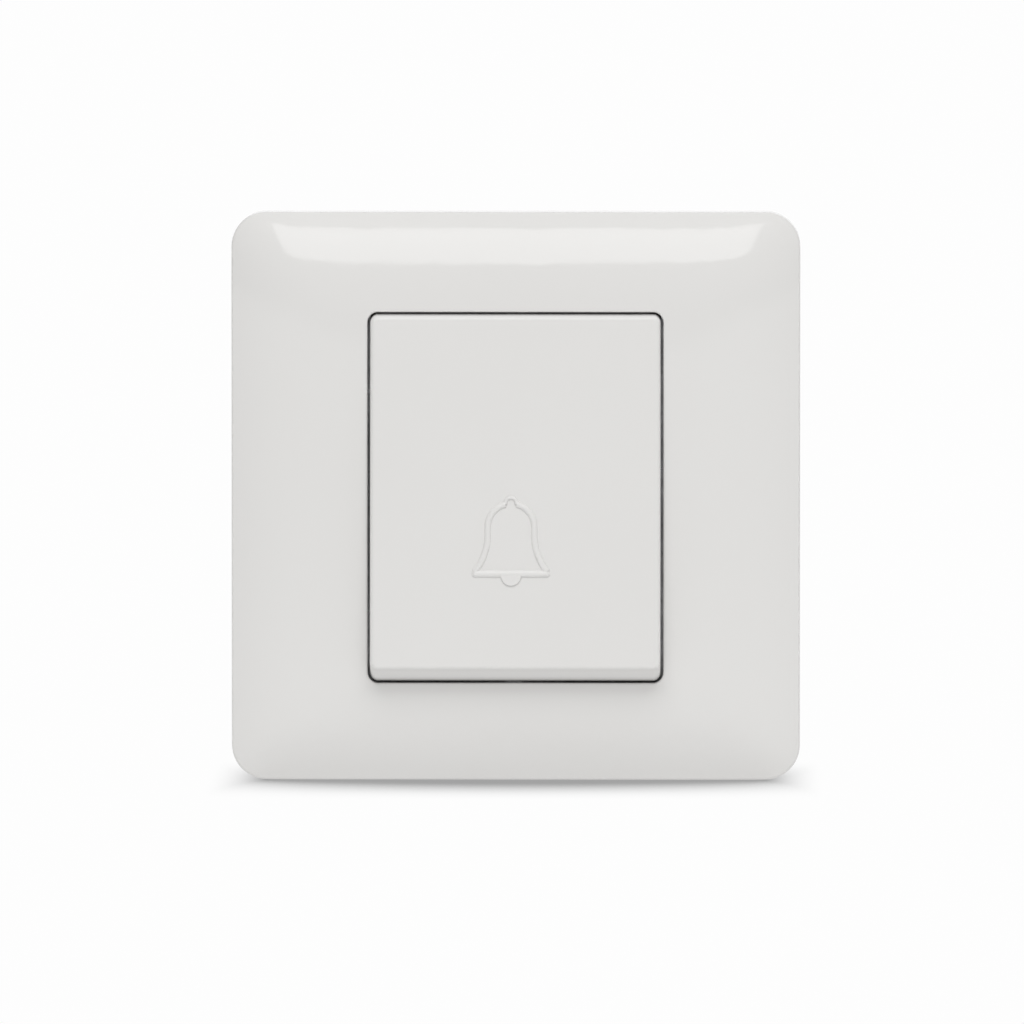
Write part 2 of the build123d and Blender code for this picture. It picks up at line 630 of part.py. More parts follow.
def mechanism_housing():
    """Rear of the insert, with ledges for the contacts, windows for the terminals and claw lugs."""
    outline = RectangleRounded(BEARING_W, BEARING_H, HOUSING_CORNER_R)
    solid = across(outline, 0, HOUSING_DEPTH)
    solid = fillet(solid.faces().sort_by(Axis.Y)[-1].edges(), HOUSING_EDGE_R)
    room = RectangleRounded(
        BEARING_W - 2 * HOUSING_WALL, BEARING_H - 2 * HOUSING_WALL, HOUSING_CORNER_R - HOUSING_WALL
    )
    floor = HOUSING_DEPTH - HOUSING_WALL
    housing = solid - across(room, 0, floor)
    housing += mirrored(contact_ledge())
    room_z = BEARING_H / 2 - HOUSING_WALL
    housing += block((-PARTITION_T / 2, PARTITION_T / 2), (STRIP_Y, floor), (-room_z, room_z))
    bore = HOUSING_SCREW_R + FIT
    for z in (-HOUSING_SCREW_Z, HOUSING_SCREW_Z):
        housing += rod(bore + BOSS_WALL, 0, BOSS_LENGTH, z=z) & solid
        housing -= rod(bore, 0, BOSS_LENGTH, z=z)
    window = Rectangle(BLOCK_W + 2 * BLOCK_PLAY, BLOCK_H + 2 * BLOCK_PLAY)
    for x in (-CONTACT_X, CONTACT_X):
        housing -= across(window, floor, HOUSING_DEPTH, x, TERMINAL_Z)
        housing -= post(ACCESS_R, room_z, HOUSING_TOP, x, TERMINAL_SCREW_Y)
    for z in (-lug_middle(), lug_middle()):
        housing += mirrored(claw_lug(z))
    panel = RectangleRounded(PANEL_W, PANEL_H, PANEL_CORNER_R)
    panel_z = PANEL_MARGIN + PANEL_H / 2 - HOUSING_TOP
    housing -= across(panel, HOUSING_DEPTH - PANEL_DEPTH, HOUSING_DEPTH, z=panel_z)
    for i in range(GRIP_COUNT):
        x = (i - (GRIP_COUNT - 1) / 2) * GRIP_PITCH
        groove = Rectangle(GRIP_W, 2 * GRIP_DEPTH)
        housing -= across(groove, BOSS_LENGTH, HOUSING_DEPTH, x, -HOUSING_TOP)
    return housing


def plunger():
    """Mushroom plunger with a stepped tail for the contact bridge."""
    piece = rod(HEAD_R, HEAD_Y, SPRING_Y, z=-PLUNGER_ARM)
    piece += rod(STEM_R, SPRING_Y, BRIDGE_Y, z=-PLUNGER_ARM)
    piece += rod(TAIL_R, BRIDGE_Y, BRIDGE_BACK_Y, z=-PLUNGER_ARM)
    tail = rod(TAIL_HEAD_R, BRIDGE_BACK_Y, BRIDGE_BACK_Y + TAIL_HEAD_T, z=-PLUNGER_ARM)
    return piece + tail


def return_spring():
    """Coil spring between the plunger's head and the floor of the well."""
    radius = STEM_R + SPRING_PLAY + SPRING_WIRE_R
    start = SPRING_Y + SPRING_WIRE_R + SEAT_GAP
    height = SPRING_LENGTH - 2 * (SPRING_WIRE_R + SEAT_GAP)
    coil = Helix(height / SPRING_TURNS, height, radius, (0, start, -PLUNGER_ARM), (0, 1, 0))
    section = Plane(origin=coil @ 0, z_dir=coil % 0) * Circle(SPRING_WIRE_R)
    return sweep(section, coil, is_frenet=True)


def contact_bridge():
    """Sprung bronze bar across the two contacts."""
    outline = SlotOverall(2 * (CONTACT_X + BRIDGE_MARGIN), BRIDGE_W)
    outline -= Circle(TAIL_R + FIT)
    outline -= Pos(-CONTACT_X, 0) * Circle(SHANK_R + FIT)
    outline -= Pos(CONTACT_X, 0) * Circle(SHANK_R + FIT)
    return across(outline, BRIDGE_Y, BRIDGE_BACK_Y, z=-PLUNGER_ARM)


def contact_tip(x, face_y, seat_y, shank):
    """Silver rivet with its contact face and its shank through the piece that carries it."""
    low, high = sorted((face_y, seat_y))
    button = rod(TIP_R, low, high, x, -PLUNGER_ARM)
    rims = button.edges().filter_by(GeomType.CIRCLE).sort_by(Axis.Y)
    rim = rims[-1] if face_y > seat_y else rims[0]
    low, high = sorted((seat_y, seat_y + shank))
    return fillet(rim, TIP_EDGE_R) + rod(SHANK_R, low, high, x, -PLUNGER_ARM)


def bridge_tips():
    """The two contacts on the bridge, facing back."""
    face_y = BRIDGE_BACK_Y + TIP_T
    return [contact_tip(x, face_y, BRIDGE_BACK_Y, -BRIDGE_T) for x in (-CONTACT_X, CONTACT_X)]


def fixed_tips():
    """The two contacts on the strips, facing the bridge."""
    return [contact_tip(x, FIXED_TIP_Y, STRIP_Y, STRIP_T) for x in (-CONTACT_X, CONTACT_X)]


def contact_strip(side):
    """Brass strip from a fixed contact up to its terminal."""
    low = -PLUNGER_ARM - STRIP_MARGIN
    high = BLOCK_TOP
    outline = Pos(0, (low + high) / 2) * RectangleRounded(STRIP_W, high - low, STRIP_W / 4)
    outline -= Pos(0, -PLUNGER_ARM) * Circle(SHANK_R + FIT)
    outline -= Pos(0, STAKE_Z) * Circle(STAKE_R + FIT)
    outline -= Pos(0, TERMINAL_Z) * Circle(STUB_R + FIT)
    return across(outline, STRIP_Y, STRIP_BACK_Y, x=side * CONTACT_X)


def terminal_block(side):
    """Brass pillar riveted to its strip, bored for the wire and drilled for the clamping screw."""
    x = side * CONTACT_X
    pillar = across(Rectangle(BLOCK_W, BLOCK_H), STRIP_BACK_Y, BLOCK_BACK_Y, x, TERMINAL_Z)
    pillar = chamfer(pillar.faces().sort_by(Axis.Y)[-1].edges(), BLOCK_EDGE)
    pillar += rod(STUB_R, STRIP_Y, STRIP_BACK_Y, x, TERMINAL_Z)
    pillar += rod(STUB_HEAD_R, STRIP_Y - STUB_HEAD_T, STRIP_Y, x, TERMINAL_Z)
    pillar -= rod(WIRE_R, BLOCK_BACK_Y - WIRE_DEPTH, BLOCK_BACK_Y, x, TERMINAL_Z)
    return pillar - post(TERMINAL_SCREW_R + FIT, TERMINAL_Z, BLOCK_TOP, x, TERMINAL_SCREW_Y)


def terminal_screws():
    """One slotted clamping screw over each wire bore, backed off as supplied."""
    tip = TERMINAL_Z + WIRE_R + TERMINAL_TIP_GAP
    seat = BLOCK_TOP + TERMINAL_SCREW_LIFT
    top = seat + TERMINAL_HEAD_H
    screws = []
    for x in (-CONTACT_X, CONTACT_X):
        head = post(TERMINAL_HEAD_R, seat, top, x, TERMINAL_SCREW_Y)
        head = fillet(head.faces().sort_by(Axis.Z)[-1].edges(), HEAD_EDGE_R)
        shank = post(TERMINAL_SCREW_R, tip, seat, x, TERMINAL_SCREW_Y)
        screw = head + chamfer(shank.faces().sort_by(Axis.Z)[0].edges(), SCREW_POINT)
        slot_x = (x - SLOT_W / 2, x + SLOT_W / 2)
        slot_y = (TERMINAL_SCREW_Y - TERMINAL_HEAD_R, TERMINAL_SCREW_Y + TERMINAL_HEAD_R)
        screws.append(screw - block(slot_x, slot_y, (top - SLOT_DEPTH, top)))
    return screws


def front_screw(x, z, shank_r, length, head_r, head_h, seat_depth):
    """Slotted screw driven from the front, its head on a seat at the given depth."""
    seat = -seat_depth
    head = rod(head_r, seat - head_h, seat, x, z)
    head = fillet(head.faces().sort_by(Axis.Y)[0].edges(), HEAD_EDGE_R)
    shank = rod(shank_r, seat, seat + length, x, z)
    screw = head + chamfer(shank.faces().sort_by(Axis.Y)[-1].edges(), SCREW_POINT)
    slot = block(
        (x - head_r, x + head_r),
        (seat - head_h, seat - head_h + SLOT_DEPTH),
        (z - SLOT_W / 2, z + SLOT_W / 2),
    )
    return screw - slot


def housing_screws():
    """Two screws that clamp the strap between bearing frame and housing."""
    return [
        front_screw(
            0, z, HOUSING_SCREW_R, HOUSING_SCREW_L, HOUSING_HEAD_R, HOUSING_HEAD_H, BEARING_FRONT
        )
        for z in (-HOUSING_SCREW_Z, HOUSING_SCREW_Z)
    ]


def claw(side):
    """Sheet steel claw: a rolled knuckle and two legs whose bent ends carry the teeth."""
    half = CLAW_W / 2
    inner = PIN_X - CLAW_KNUCKLE_R
    foot = PIN_X + CLAW_REACH
    outline = Polyline(
        (inner, CLAW_PIN_Y),
        (inner + CLAW_T, CLAW_PIN_Y),
        (inner + CLAW_T, CLAW_END_Y - CLAW_T),
        (foot, CLAW_END_Y - CLAW_T),
        (foot + CLAW_TOOTH, CLAW_END_Y),
        (inner, CLAW_END_Y),
        close=True,
    )
    piece = Pos(0, 0, -half) * extrude(make_face(outline), CLAW_W)
    bend = piece.edges().filter_by(Axis.Z).group_by(Axis.Y)[-1].sort_by(Axis.X)[0]
    piece = fillet(bend, CLAW_T)
    piece += post(CLAW_KNUCKLE_R, -half, half, PIN_X, CLAW_PIN_Y)
    piece -= post(CLAW_PIN_R + CLAW_PIN_PLAY, -half, half, PIN_X, CLAW_PIN_Y)
    piece -= block(
        (inner, foot + CLAW_TOOTH),
        (CLAW_PIN_Y + CLAW_FORK_ROOT, CLAW_END_Y),
        (-CLAW_FORK / 2, CLAW_FORK / 2),
    )
    notch = Rot(0, 0, 45) * Rectangle(CLAW_NOTCH, CLAW_NOTCH)
    leg = (half + CLAW_FORK / 2) / 2
    for z in (-leg, leg):
        piece -= across(notch, CLAW_END_Y - CLAW_T, CLAW_END_Y, foot + CLAW_TOOTH, z)
    return piece if side > 0 else mirror(piece, Plane.YZ)


def claw_pins():
    """Hinge pins of the claws, held in the housing's lugs."""
    reach = lug_middle() + LUG_T / 2
    return [post(CLAW_PIN_R, -reach, reach, side * PIN_X, CLAW_PIN_Y) for side in SIDES.values()]


def claw_screws():
    """Long screws through the strap that draw the claws' nuts forward."""
    length = STRAP_T + NUT_Y + CLAW_NUT_T + CLAW_SCREW_TAIL
    return [
        front_screw(side * SCREW_X, 0, CLAW_SCREW_R, length, CLAW_HEAD_R, CLAW_HEAD_H, STRAP_T)
        for side in SIDES.values()
    ]


def claw_nuts():
    """Square nuts behind the claws' forked ends."""
    nut = RectangleRounded(CLAW_NUT, CLAW_NUT, CLAW_NUT_CORNER_R) - Circle(CLAW_SCREW_R + FIT)
    return [across(nut, NUT_Y, NUT_Y + CLAW_NUT_T, x=side * SCREW_X) for side in SIDES.values()]


def write(name, piece):
    """Write one node, from a single piece or a list of like pieces."""
    if isinstance(piece, list):
        piece = Compound(children=[solid for item in piece for solid in item.solids()])
    export_step(piece, os.path.join("parts", name + ".step"))


def main():
    os.makedirs("parts", exist_ok=True)
    write("cover_frame", cover_frame())
    write("push_key", push_key())
    write("rocker_cradle", rocker_cradle())
    write("bearing_frame", bearing_frame())
    write("mounting_strap", mounting_strap())
    write("mechanism_housing", mechanism_housing())
    write("plunger", plunger())
    write("return_spring", return_spring())
    write("contact_bridge", contact_bridge())
    write("bridge_tips", bridge_tips())
    write("fixed_tips", fixed_tips())
    for name, side in SIDES.items():
        write("contact_strip_" + name, contact_strip(side))
        write("terminal_block_" + name, terminal_block(side))
        write("claw_" + name, claw(side))
    write("terminal_screws", terminal_screws())
    write("housing_screws", housing_screws())
    write("claw_pins", claw_pins())
    write("claw_screws", claw_screws())
    write("claw_nuts", claw_nuts())


main()
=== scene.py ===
"""Looks of the door bell push button: materials, spring, screw threads, studio light and camera."""

import json
import math

import bmesh
import bpy
from mathutils import Matrix, Vector


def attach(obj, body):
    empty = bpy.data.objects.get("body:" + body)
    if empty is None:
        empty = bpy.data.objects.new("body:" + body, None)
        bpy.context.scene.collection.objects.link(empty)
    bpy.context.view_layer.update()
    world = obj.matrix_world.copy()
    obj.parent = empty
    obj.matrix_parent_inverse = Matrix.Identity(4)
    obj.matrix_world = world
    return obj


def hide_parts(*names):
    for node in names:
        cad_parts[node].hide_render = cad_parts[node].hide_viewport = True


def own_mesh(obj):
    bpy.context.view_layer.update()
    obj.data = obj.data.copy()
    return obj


MM = 0.001

# Camera: the photograph looks at the plate almost square on, from a little above, with a long lens.
PIXELS = 1024
PIXELS_PER_MM = 6.917
PLATE_CENTRE_PX = (516.3, 493.9)
CAMERA_AZIMUTH = 0.8
CAMERA_ELEVATION = 3.5
CAMERA_DISTANCE = 2.4
CAMERA_REACH = 100.0
SENSOR_MM = 36.0

# Tent: its strength as light from the far left and right, and as shiny surfaces mirror it: dimmer in front,
# where the camera stands, and to the left
WHITE = (1.0, 1.0, 1.0, 1.0)
TENT_LEFT = 0.39
TENT_RIGHT = 0.58
MIRRORED_FRONT = 0.5
MIRRORED_FRONT_SPAN = (-0.4, 0.3)
MIRRORED_LEFT = 0.55

# Sheet under the plate, in metres: the light that it bounces is stronger close to the plate.
SHEET_HALF = 4.0
SHEET_WHITE = 0.985
SHEET_NEAR = 0.92
SHEET_FAR = 0.74
SHEET_FADE = (0.02, 0.12)

# Shadow on the sheet, in millimetres: how far off the plate still shades it, where it fades beside the plate,
# and its darkest tone
SHADOW_REACH = 34.0
SHADOW_START = 0.2
SHADOW_SIDE = (34.0, 44.5)
SHADOW_CONTACT = 0.37

# Lamps above and in front of the plate, in metres and degrees: a softbox that shows as a highlight, and a
# larger diffused one that shows only by the soft shadow it throws
LAMP_DISTANCE = 0.9
SOFTBOX_WIDTH = 0.52
SOFTBOX_HEIGHT = 0.35
SOFTBOX_ELEVATION = 35.0
SOFTBOX_ENERGY = 1.05
DIFFUSED_WIDTH = 0.8
DIFFUSED_HEIGHT = 0.45
DIFFUSED_ELEVATION = 50.0
DIFFUSED_ENERGY = 3.8

# Sizes of the part that the looks refer to, in millimetres
PLATE_HALF = 41.0
RIM_DEPTH = 5.6
CROWN_RISE = 4.0
CROWN_ORDER = 6.0
CROWN_SQUARENESS = 12.0
APERTURE_HALF_W = 21.3
APERTURE_END_R = 27.4

# Painted shade in the gap round the key, a dark brown on its walls, in millimetres: where it sets in behind
# the frame's front, how far it reaches past the aperture's walls, and where it sets in along Y on the key
GAP_SHADE_COLOUR = (0.035, 0.027, 0.018)
FRAME_GAP_SHADE = (0.25, 0.6)
GAP_SHADE_PAST_SIDE = 0.02
GAP_SHADE_PAST_END = 0.05
KEY_GAP_SHADE = (-6.2, -4.6)

# Noise in the materials, in cells to the metre, and the stretch of its values that shows
GRAIN_SCALE = 900.0
TARNISH_SCALE = 160.0
STAIN_SCALE = 700.0
TONE_SCALE = 28.0
SPECK_SCALE = 420.0
GLOSS_SCALE = 75.0
WAVE_SCALE = 230.0
TEXTURE_SCALE = 4600.0
COMMON = (0.3, 0.7)
RARE = (0.62, 0.78)

# Metals: share of grain against tarnish in the tone, strength and roughness of stains, depth of the grain's
# lines in millimetres, and how the grain is drawn out along Z or X
GRAIN_SHARE = 0.35
STAIN_STRENGTH = 0.55
STAIN_ROUGHNESS = 0.15
GRAIN_DEPTH = 0.004
GRAIN_STRENGTH = 0.5
LENGTHWISE = (1.0, 1.0, 0.06)
CROSSWISE = (0.06, 1.0, 1.0)

# Plastics: share of fine specks against slow change in the tone
SPECK_SHARE = 0.2

# Return spring, in millimetres: its coil's axis runs along Y
SPRING_Z = -10.0
SPRING_FRONT = -2.65
SPRING_BACK = 3.75
SPRING_R = 3.0
SPRING_WIRE_R = 0.3
SPRING_TURNS = 4.5
SPRING_END_TURN = 0.75
SPRING_STEPS = 40
SPRING_SIDES = 14

# Claw screws, in millimetres: slotted heads in front of the strap, threaded shanks behind it
SCREW_X = 24.0
SCREW_HEAD_R = 2.75
SCREW_HEAD_FRONT = -3.2
SCREW_SEAT = -1.0
SCREW_END = 20.8
SCREW_R = 1.5
SCREW_CORE_R = 1.22
SCREW_PITCH = 0.5
SCREW_RUNOUT = 2
SCREW_ROOT = 1.25
SCREW_SLOT_W = 0.7
SCREW_SLOT_DEPTH = 0.8
SCREW_SLOT_REACH = 1.2
SCREW_EDGE_R = 0.45
SCREW_EDGE_STEPS = 6
SCREW_POINT = 0.4
SCREW_SIDES = 36
SCREW_STEPS = 10
SCREW_SHARP_ANGLE = 40

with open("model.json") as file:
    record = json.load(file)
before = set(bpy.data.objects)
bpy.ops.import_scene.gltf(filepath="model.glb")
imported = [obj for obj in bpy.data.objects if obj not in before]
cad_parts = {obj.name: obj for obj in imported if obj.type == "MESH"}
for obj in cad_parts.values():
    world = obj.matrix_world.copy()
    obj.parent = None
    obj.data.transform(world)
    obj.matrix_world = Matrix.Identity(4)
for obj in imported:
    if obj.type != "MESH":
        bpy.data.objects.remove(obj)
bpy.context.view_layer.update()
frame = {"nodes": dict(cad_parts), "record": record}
nodes = frame["nodes"]


class Graph:
    """Short calls for one node tree. A value is a number, a colour, or another node's output."""

    def __init__(self, tree):
        self.tree = tree

    def put(self, socket, value):
        if isinstance(value, bpy.types.NodeSocket):
            self.tree.links.new(value, socket)
        else:
            socket.default_value = value

    def add(self, kind, **inputs):
        node = self.tree.nodes.new(kind)
        for name, value in inputs.items():
            self.put(node.inputs[name.replace("_", " ")], value)
        return node

    def math(self, operation, *values):
        node = self.tree.nodes.new("ShaderNodeMath")
        node.operation = operation
        for socket, value in zip(node.inputs, values):
            self.put(socket, value)
        return node.outputs["Value"]

    def span(self, value, low, high, start=0.0, stop=1.0):
        """Value from start to stop, drawn evenly onto low to high and held there beyond."""
        node = self.add("ShaderNodeMapRange", Value=value, From_Min=start, From_Max=stop)
        self.put(node.inputs["To Min"], low)
        self.put(node.inputs["To Max"], high)
        return node.outputs["Result"]

    def blend(self, share, first, second):
        """Colour between two colours or colour outputs, by share."""
        node = self.tree.nodes.new("ShaderNodeMix")
        node.data_type = "RGBA"
        colours = [socket for socket in node.inputs if socket.type == "RGBA"]
        self.put(node.inputs["Factor"], share)
        for socket, value in zip(colours, (first, second)):
            self.put(socket, (*value, 1.0) if isinstance(value, tuple) else value)
        return next(socket for socket in node.outputs if socket.type == "RGBA")

    def axes(self, vector):
        return self.add("ShaderNodeSeparateXYZ", Vector=vector).outputs

    def either(self, share, first, second):
        """One shader or the other, by share."""
        node = self.tree.nodes.new("ShaderNodeMixShader")
        for socket, value in zip(node.inputs, (share, first, second)):
            self.put(socket, value)
        return node.outputs["Shader"]

    def rays(self):
        """For rays from the camera, and for reflected or refracted ones: 1 for such a ray, else 0."""
        path = self.add("ShaderNodeLightPath").outputs
        mirrored = self.math("MAXIMUM", path["Is Glossy Ray"], path["Is Transmission Ray"])
        return path["Is Camera Ray"], mirrored


class Surface(Graph):
    """A material's node tree around one Principled shader, with coordinates fixed to the object."""

    def __init__(self, name):
        self.material = bpy.data.materials.new(name)
        self.material.use_nodes = True
        super().__init__(self.material.node_tree)
        self.shader = self.tree.nodes["Principled BSDF"]
        self.place = self.add("ShaderNodeTexCoord").outputs["Object"]

    def stretched(self, scale):
        return self.add("ShaderNodeMapping", Vector=self.place, Scale=scale).outputs["Vector"]

    def noise(self, scale, detail, vector=None):
        place = self.place if vector is None else vector
        return self.add("ShaderNodeTexNoise", Vector=place, Scale=scale, Detail=detail).outputs["Fac"]

    def sum(self, *weighted):
        """Sum of (output, weight) pairs."""
        total = 0.0
        for output, weight in weighted:
            total = self.math("MULTIPLY_ADD", output, weight, total)
        return total

    def set(self, **values):
        for name, value in values.items():
            self.put(self.shader.inputs[name.replace("_", " ")], value)

    def bump(self, height, depth_mm, strength=1.0):
        node = self.add("ShaderNodeBump", Height=height, Distance=depth_mm * MM, Strength=strength)
        self.set(Normal=node.outputs["Normal"])


def metal(name, light, dark, stain, rough, grain):
    """Rolled, drawn or machined metal: fine lines along the grain, slow patches of tarnish, small stains."""
    s = Surface(name)
    lines = s.noise(GRAIN_SCALE, detail=4.0, vector=s.stretched(grain))
    patches = s.noise(TARNISH_SCALE, detail=5.0)
    tone = s.span(s.sum((lines, GRAIN_SHARE), (patches, 1 - GRAIN_SHARE)), 0.0, 1.0, *COMMON)
    stains = s.span(s.noise(STAIN_SCALE, detail=2.0), 0.0, STAIN_STRENGTH, *RARE)
    s.set(
        Metallic=1.0,
        Base_Color=s.blend(stains, s.blend(tone, dark, light), stain),
        Roughness=s.sum((s.span(tone, rough[1], rough[0]), 1.0), (stains, STAIN_ROUGHNESS)),
    )
    s.bump(lines, GRAIN_DEPTH, GRAIN_STRENGTH)
    return s.material


def plastic(name, light, dark, rough, refraction, wave_mm, texture_mm, gap_shade=None):
    """Moulded plastic: slow change of tone, uneven gloss, a trace of moulding waviness and of fine texture.

    The last argument gives, from the surface, how much painted shade darkens a place deep in the gap round
    the key."""
    s = Surface(name)
    slow = s.noise(TONE_SCALE, detail=2.0)
    specks = s.noise(SPECK_SCALE, detail=4.0)
    tone = s.sum((slow, 1 - SPECK_SHARE), (specks, SPECK_SHARE))
    body = s.blend(s.span(tone, 0.0, 1.0, *COMMON), dark, light)
    if gap_shade:
        # Painted shade: the colour turns dark brown deep in the gap round the key
        body = s.blend(gap_shade(s), body, GAP_SHADE_COLOUR)
    s.set(
        Base_Color=body,
        Roughness=s.span(s.noise(GLOSS_SCALE, detail=2.0), *rough, *COMMON),
        IOR=refraction,
    )
    waves = s.noise(WAVE_SCALE, detail=1.0)
    texture = s.noise(TEXTURE_SCALE, detail=3.0)
    s.bump(s.sum((waves, wave_mm), (texture, texture_mm)), depth_mm=1.0)
    return s.material


def frame_gap_shade(s):
    """Painted shade on the walls of the frame's aperture, from just behind its crowned front."""
    x, y, z = s.axes(s.place)
    shares = [
        s.math("POWER", s.math("ABSOLUTE", s.math("DIVIDE", along, PLATE_HALF * MM)), CROWN_SQUARENESS)
        for along in (x, z)
    ]
    fall = s.math("POWER", s.math("ADD", *shares), CROWN_ORDER / CROWN_SQUARENESS)
    front = s.math("MULTIPLY_ADD", fall, CROWN_RISE * MM, -(RIM_DEPTH + CROWN_RISE) * MM)
    behind = s.math("SUBTRACT", y, front)
    within_x = s.math("LESS_THAN", s.math("ABSOLUTE", x), (APERTURE_HALF_W + GAP_SHADE_PAST_SIDE) * MM)
    within_z = s.math("LESS_THAN", s.math("ABSOLUTE", z), (APERTURE_END_R + GAP_SHADE_PAST_END) * MM)
    within = s.math("MULTIPLY", within_x, within_z)
    return s.math("MULTIPLY", within, s.span(behind, 0.0, 1.0, FRAME_GAP_SHADE[0] * MM, FRAME_GAP_SHADE[1] * MM))


def key_gap_shade(s):
    """Painted shade on the key's skirt, behind what comes out in front of the frame when the key is pressed.
    """
    return s.span(s.axes(s.place)["Y"], 0.0, 1.0, KEY_GAP_SHADE[0] * MM, KEY_GAP_SHADE[1] * MM)


MATERIALS = {
    "frame_white": plastic(
        "frame_white",
        light=(0.728, 0.721, 0.707),
        dark=(0.718, 0.71, 0.695),
        rough=(0.07, 0.11),
        refraction=1.55,
        wave_mm=0.0012,
        texture_mm=0.0003,
        # painted shade on the aperture walls
        gap_shade=frame_gap_shade,
    ),
    "key_white": plastic(
        "key_white",
        light=(0.735, 0.728, 0.714),
        dark=(0.725, 0.717, 0.702),
        rough=(0.2, 0.26),
        refraction=1.5,
        wave_mm=0.001,
        texture_mm=0.0008,
        # painted shade on the key's skirt
        gap_shade=key_gap_shade,
    ),
    "cradle_plastic": plastic(
        "cradle_plastic",
        light=(0.64, 0.63, 0.605),
        dark=(0.58, 0.565, 0.535),
        rough=(0.4, 0.52),
        refraction=1.5,
        wave_mm=0.002,
        texture_mm=0.003,
    ),
    "insert_plastic": plastic(
        "insert_plastic",
        light=(0.44, 0.44, 0.43),
        dark=(0.37, 0.37, 0.36),
        rough=(0.38, 0.55),
        refraction=1.5,
        wave_mm=0.003,
        texture_mm=0.004,
    ),
    "zinc_steel": metal(
        "zinc_steel",
        light=(0.66, 0.67, 0.68),
        dark=(0.45, 0.46, 0.475),
        stain=(0.36, 0.35, 0.33),
        rough=(0.24, 0.42),
        grain=CROSSWISE,
    ),
    "screw_steel": metal(
        "screw_steel",
        light=(0.66, 0.655, 0.63),
        dark=(0.47, 0.46, 0.43),
        stain=(0.33, 0.31, 0.27),
        rough=(0.2, 0.36),
        grain=LENGTHWISE,
    ),
    "spring_steel": metal(
        "spring_steel",
        light=(0.55, 0.55, 0.56),
        dark=(0.38, 0.38, 0.39),
        stain=(0.24, 0.23, 0.22),
        rough=(0.2, 0.34),
        grain=LENGTHWISE,
    ),
    "brass": metal(
        "brass",
        light=(0.77, 0.58, 0.27),
        dark=(0.56, 0.39, 0.16),
        stain=(0.38, 0.25, 0.11),
        rough=(0.2, 0.36),
        grain=LENGTHWISE,
    ),
    "bronze": metal(
        "bronze",
        light=(0.70, 0.45, 0.26),
        dark=(0.50, 0.30, 0.16),
        stain=(0.33, 0.19, 0.1),
        rough=(0.22, 0.36),
        grain=CROSSWISE,
    ),
    "silver": metal(
        "silver",
        light=(0.84, 0.83, 0.81),
        dark=(0.62, 0.61, 0.58),
        stain=(0.4, 0.37, 0.32),
        rough=(0.16, 0.3),
        grain=LENGTHWISE,
    ),
}

for row in frame["record"]["subparts"]:
    for slot in nodes[row["node"]].material_slots:
        slot.material = MATERIALS[row["material_slot"]]


def linked(name, data):
    """New object for some data, in the scene."""
    made = bpy.data.objects.new(name, data)
    bpy.context.scene.collection.objects.link(made)
    return made


def piece(name, mesh, slot, body, node):
    """Smoothly shaded object for a mesh, standing for a node of the part and moving with its body."""
    for polygon in mesh.polygons:
        polygon.use_smooth = True
    made = linked(name, mesh)
    mesh.materials.append(MATERIALS[slot])
    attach(made, body)
    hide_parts(node)
    return made


def ring_tube(shape, rings):
    """Skin over a row of closed rings, with one flat face over each end."""
    loops = [[shape.verts.new(point) for point in ring] for ring in rings]
    count = len(loops[0])
    for near, far in zip(loops, loops[1:]):
        for k in range(count):
            shape.faces.new((near[k], near[(k + 1) % count], far[(k + 1) % count], far[k]))
    shape.faces.new(loops[0][::-1])
    shape.faces.new(loops[-1])


def finished(name, shape):
    """Mesh from a drawn shape, with its normals outwards."""
    bmesh.ops.recalc_face_normals(shape, faces=shape.faces)
    mesh = bpy.data.meshes.new(name)
    shape.to_mesh(mesh)
    shape.free()
    return mesh


def spring_depth(turn):
    """Depth of the wire's middle after some turns: an end turn rises by one wire, the others climb evenly."""
    wire = 2 * SPRING_WIRE_R
    if turn < SPRING_END_TURN:
        return SPRING_FRONT + wire * turn / SPRING_END_TURN
    if turn > SPRING_TURNS - SPRING_END_TURN:
        return SPRING_BACK - wire * (SPRING_TURNS - turn) / SPRING_END_TURN
    share = (turn - SPRING_END_TURN) / (SPRING_TURNS - 2 * SPRING_END_TURN)
    return SPRING_FRONT + wire + (SPRING_BACK - SPRING_FRONT - 2 * wire) * share


def spring():
    """Right-handed coil of round wire whose end turns lie close, as a compression spring has them."""
    along = Vector((0.0, 1.0, 0.0))
    rings = []
    for i in range(int(SPRING_TURNS * SPRING_STEPS) + 1):
        turn = i / SPRING_STEPS
        angle = 2 * math.pi * turn
        out = Vector((math.cos(angle), 0.0, -math.sin(angle)))
        middle = Vector((0.0, spring_depth(turn), SPRING_Z)) + SPRING_R * out
        ring = []
        for k in range(SPRING_SIDES):
            bend = 2 * math.pi * k / SPRING_SIDES
            offset = SPRING_WIRE_R * (math.cos(bend) * out + math.sin(bend) * along)
            ring.append((middle + offset) * MM)
        rings.append(ring)
    shape = bmesh.new()
    ring_tube(shape, rings)
    return finished("return_coil", shape)


def screw_rows():
    """(depth, radius without thread, share of thread) along a claw screw, from its head to its point."""
    rows = []
    for k in range(SCREW_EDGE_STEPS + 1):
        bend = math.pi / 2 * k / SCREW_EDGE_STEPS
        y = SCREW_HEAD_FRONT + SCREW_EDGE_R * (1 - math.cos(bend))
        rows.append((y, SCREW_HEAD_R - SCREW_EDGE_R * (1 - math.sin(bend)), 0.0))
    rows.append((SCREW_SEAT, SCREW_HEAD_R, 0.0))
    steps = int((SCREW_END - SCREW_SEAT) / SCREW_PITCH * SCREW_STEPS)
    for k in range(steps + 1):
        y = SCREW_SEAT + (SCREW_END - SCREW_SEAT) * k / steps
        point = max(0.0, y - (SCREW_END - SCREW_POINT))
        thread = min(1.0, (y - SCREW_SEAT) / (SCREW_RUNOUT * SCREW_PITCH))
        rows.append((y, SCREW_R - point, thread))
    return rows


